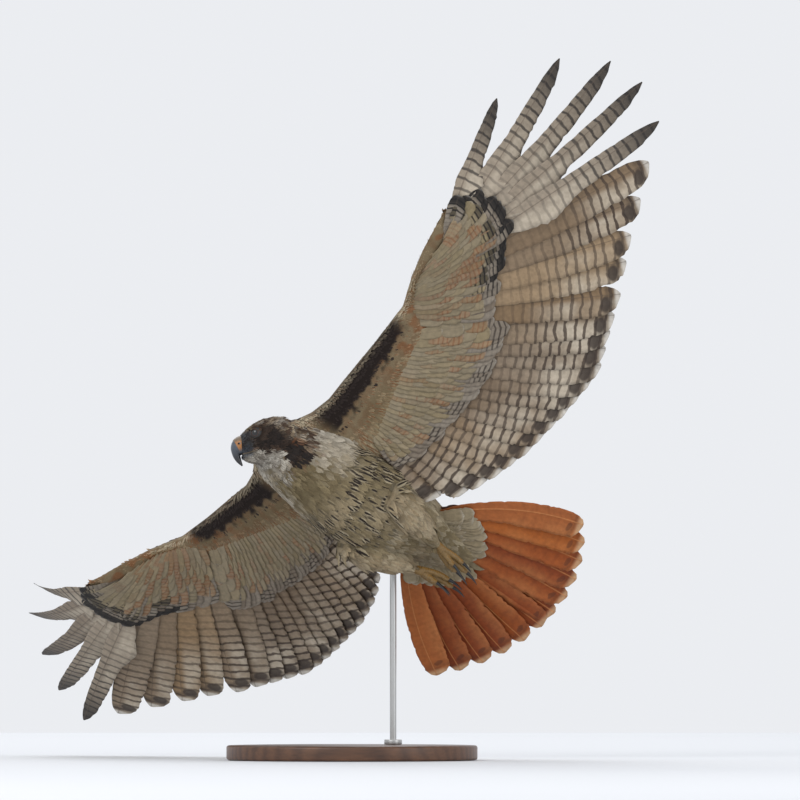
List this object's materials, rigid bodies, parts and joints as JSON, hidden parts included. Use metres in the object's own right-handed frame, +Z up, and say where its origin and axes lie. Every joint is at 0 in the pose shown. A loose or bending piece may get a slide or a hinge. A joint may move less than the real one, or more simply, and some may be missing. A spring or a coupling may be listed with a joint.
{
  "type": "red tailed hawk",
  "caption": "Life-size red tailed hawk gliding in a bank, wings and tail spread, on a plain display stand with a rod.",
  "frame": {"origin": "centre of the underside of the stand's base", "axes": "+Z up; +X to the right and +Y away as seen in the picture, so the bird heads towards -X, -Y and up"},
  "size_m": [0.7844, 0.6296, 0.8653],
  "materials": {
    "body_feathers": "soft matt feathers, buff with dark streaks",
    "head_feathers": "short matt feathers, dark brown",
    "wing_feathers": "matt vanes, grey brown with dark bars",
    "tail_feathers": "matt vanes, rufous orange",
    "foot_scales": "scaly skin, mustard yellow",
    "bill_horn": "polished horn, dark grey",
    "claw_horn": "polished horn, black",
    "eye": "glossy glass eye, dark brown",
    "stand_wood": "oiled walnut",
    "stand_steel": "brushed"
  },
  "bodies": {
    "root": {"torso": "body_feathers", "neck": "body_feathers", "head": "head_feathers", "bill_upper": "bill_horn", "bill_lower": "bill_horn", "eye_left": "eye", "eye_right": "eye", "tail": "tail_feathers", "wing_left_arm": "wing_feathers", "wing_left_hand": "wing_feathers", "wing_right_arm": "wing_feathers", "wing_right_hand": "wing_feathers", "leg_left": "body_feathers", "leg_right": "body_feathers", "foot_left": "foot_scales", "foot_right": "foot_scales", "claw_left_inner": "claw_horn", "claw_left_middle": "claw_horn", "claw_left_outer": "claw_horn", "claw_left_back": "claw_horn", "claw_right_inner": "claw_horn", "claw_right_middle": "claw_horn", "claw_right_outer": "claw_horn", "claw_right_back": "claw_horn", "stand_base": "stand_wood", "stand_rod": "stand_steel"}
  },
  "joints": []
}
